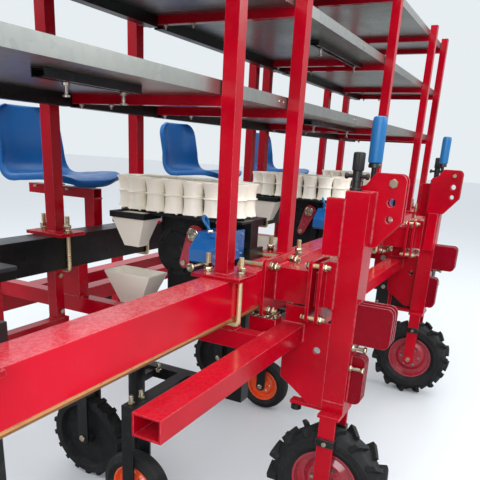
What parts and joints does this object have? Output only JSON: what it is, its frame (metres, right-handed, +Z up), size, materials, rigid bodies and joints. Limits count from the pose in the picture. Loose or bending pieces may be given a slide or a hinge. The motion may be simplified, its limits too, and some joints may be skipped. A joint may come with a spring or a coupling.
{
  "type": "self-propelled seedling transplanter",
  "caption": "Self-propelled transplanter: cross beams on lugged wheels carry cup-conveyor planting units, operator seats and a tiered rack for seedling trays",
  "frame": {"origin": "centre of the bounding box at floor level", "axes": "+X along the two cross beams toward the machine's left when seen from the front, +Y to the rear, +Z up"},
  "size_m": [4.9, 2.575, 2.25],
  "materials": {
    "red_enamel": "glossy bright red enamel",
    "dark_red_enamel": "dark red enamel",
    "black_enamel": "black satin enamel",
    "raw_steel": "oiled raw steel with a brown film",
    "zinc": "yellow passivated zinc plating",
    "galvanised_sheet": "galvanised sheet steel",
    "blue_enamel": "blue enamel",
    "blue_plastic": "blue moulded plastic",
    "orange_paint": "orange enamel",
    "cream_plastic": "cream moulded plastic",
    "tyre_rubber": "black rubber",
    "wheel_rubber": "black rubber on a black wheel"
  },
  "bodies": {
    "machine": {"front_beam": "red_enamel", "rear_beam": "black_enamel", "drive_shaft": "raw_steel", "chassis": "red_enamel", "front_legs": "red_enamel", "rear_legs": "red_enamel", "rack_posts": "red_enamel", "rack_bearers": "red_enamel", "shelf_rails": "black_enamel", "shelf_lower": "galvanised_sheet", "shelf_middle": "galvanised_sheet", "shelf_upper": "galvanised_sheet", "u_bolts": "zinc", "leg_plates": "red_enamel", "lever_grips": "blue_enamel", "jack_heads": "black_enamel", "chain_cases": "red_enamel", "drive_chains": "zinc", "engine": "black_enamel", "engine_cap": "orange_paint", "planter_frames": "black_enamel", "cup_chains": "black_enamel", "seedling_cups": "cream_plastic", "drop_funnels": "cream_plastic", "crank_arms": "red_enamel", "drive_boxes": "blue_enamel", "seats": "blue_plastic", "seat_brackets": "red_enamel", "footrests": "red_enamel"},
    "fork_left": {"fork_left": "red_enamel"},
    "fork_right": {"fork_right": "red_enamel"},
    "tie_rod": {"tie_rod": "black_enamel"},
    "wheel_front_left": {"tyre_front_left": "tyre_rubber", "rim_front_left": "dark_red_enamel"},
    "wheel_front_right": {"tyre_front_right": "tyre_rubber", "rim_front_right": "dark_red_enamel"},
    "wheel_rear_left": {"tyre_rear_left": "tyre_rubber", "rim_rear_left": "dark_red_enamel"},
    "wheel_rear_right": {"tyre_rear_right": "tyre_rubber", "rim_rear_right": "dark_red_enamel"},
    "press_wheel_1": {"press_wheel_1": "wheel_rubber"},
    "gauge_wheel_1": {"gauge_tyre_1": "tyre_rubber", "gauge_rim_1": "orange_paint"},
    "press_wheel_2": {"press_wheel_2": "wheel_rubber"},
    "gauge_wheel_2": {"gauge_tyre_2": "tyre_rubber", "gauge_rim_2": "orange_paint"},
    "press_wheel_3": {"press_wheel_3": "wheel_rubber"},
    "gauge_wheel_3": {"gauge_tyre_3": "tyre_rubber", "gauge_rim_3": "orange_paint"},
    "press_wheel_4": {"press_wheel_4": "wheel_rubber"},
    "gauge_wheel_4": {"gauge_tyre_4": "tyre_rubber", "gauge_rim_4": "orange_paint"}
  },
  "joints": [
    {"name": "steer_left", "type": "hinge", "parent": "machine", "child": "fork_left", "pos_m": [-0.61, -1.06, 0.57], "axis": [0, 0, 1], "range_deg": [-25, 25]},
    {"name": "steer_right", "type": "hinge", "parent": "machine", "child": "fork_right", "pos_m": [0.985, -1.06, 0.57], "axis": [0, 0, 1], "range_deg": [-25, 25]},
    {"name": "tie_rod_pin", "type": "hinge", "parent": "fork_left", "child": "tie_rod", "pos_m": [-0.61, -0.91, 0.492], "axis": [0, 0, 1], "range_deg": [-25, 25]},
    {"name": "roll_front_left", "type": "hinge", "parent": "fork_left", "child": "wheel_front_left", "pos_m": [-0.61, -1.06, 0.2275], "axis": [1, 0, 0], "continuous": true},
    {"name": "roll_front_right", "type": "hinge", "parent": "fork_right", "child": "wheel_front_right", "pos_m": [0.985, -1.06, 0.2275], "axis": [1, 0, 0], "continuous": true},
    {"name": "roll_rear_left", "type": "hinge", "parent": "machine", "child": "wheel_rear_left", "pos_m": [-0.475, 1.06, 0.2275], "axis": [1, 0, 0], "continuous": true},
    {"name": "roll_rear_right", "type": "hinge", "parent": "machine", "child": "wheel_rear_right", "pos_m": [0.85, 1.06, 0.2275], "axis": [1, 0, 0], "continuous": true},
    {"name": "press_roll_1", "type": "hinge", "parent": "machine", "child": "press_wheel_1", "pos_m": [-1.955, -0.04, 0.185], "axis": [1, 0, 0], "continuous": true},
    {"name": "gauge_roll_1", "type": "hinge", "parent": "machine", "child": "gauge_wheel_1", "pos_m": [-2.095, -0.4, 0.14], "axis": [1, 0, 0], "continuous": true},
    {"name": "press_roll_2", "type": "hinge", "parent": "machine", "child": "press_wheel_2", "pos_m": [-0.785, -0.04, 0.185], "axis": [1, 0, 0], "continuous": true},
    {"name": "gauge_roll_2", "type": "hinge", "parent": "machine", "child": "gauge_wheel_2", "pos_m": [-0.925, -0.4, 0.14], "axis": [1, 0, 0], "continuous": true},
    {"name": "press_roll_3", "type": "hinge", "parent": "machine", "child": "press_wheel_3", "pos_m": [0.385, -0.04, 0.185], "axis": [1, 0, 0], "continuous": true},
    {"name": "gauge_roll_3", "type": "hinge", "parent": "machine", "child": "gauge_wheel_3", "pos_m": [0.245, -0.4, 0.14], "axis": [1, 0, 0], "continuous": true},
    {"name": "press_roll_4", "type": "hinge", "parent": "machine", "child": "press_wheel_4", "pos_m": [1.555, -0.04, 0.185], "axis": [1, 0, 0], "continuous": true},
    {"name": "gauge_roll_4", "type": "hinge", "parent": "machine", "child": "gauge_wheel_4", "pos_m": [1.415, -0.4, 0.14], "axis": [1, 0, 0], "continuous": true}
  ],
  "couplings": [
    {"joint": "steer_right", "follows": "steer_left", "ratio": 1},
    {"joint": "tie_rod_pin", "follows": "steer_left", "ratio": -1}
  ]
}
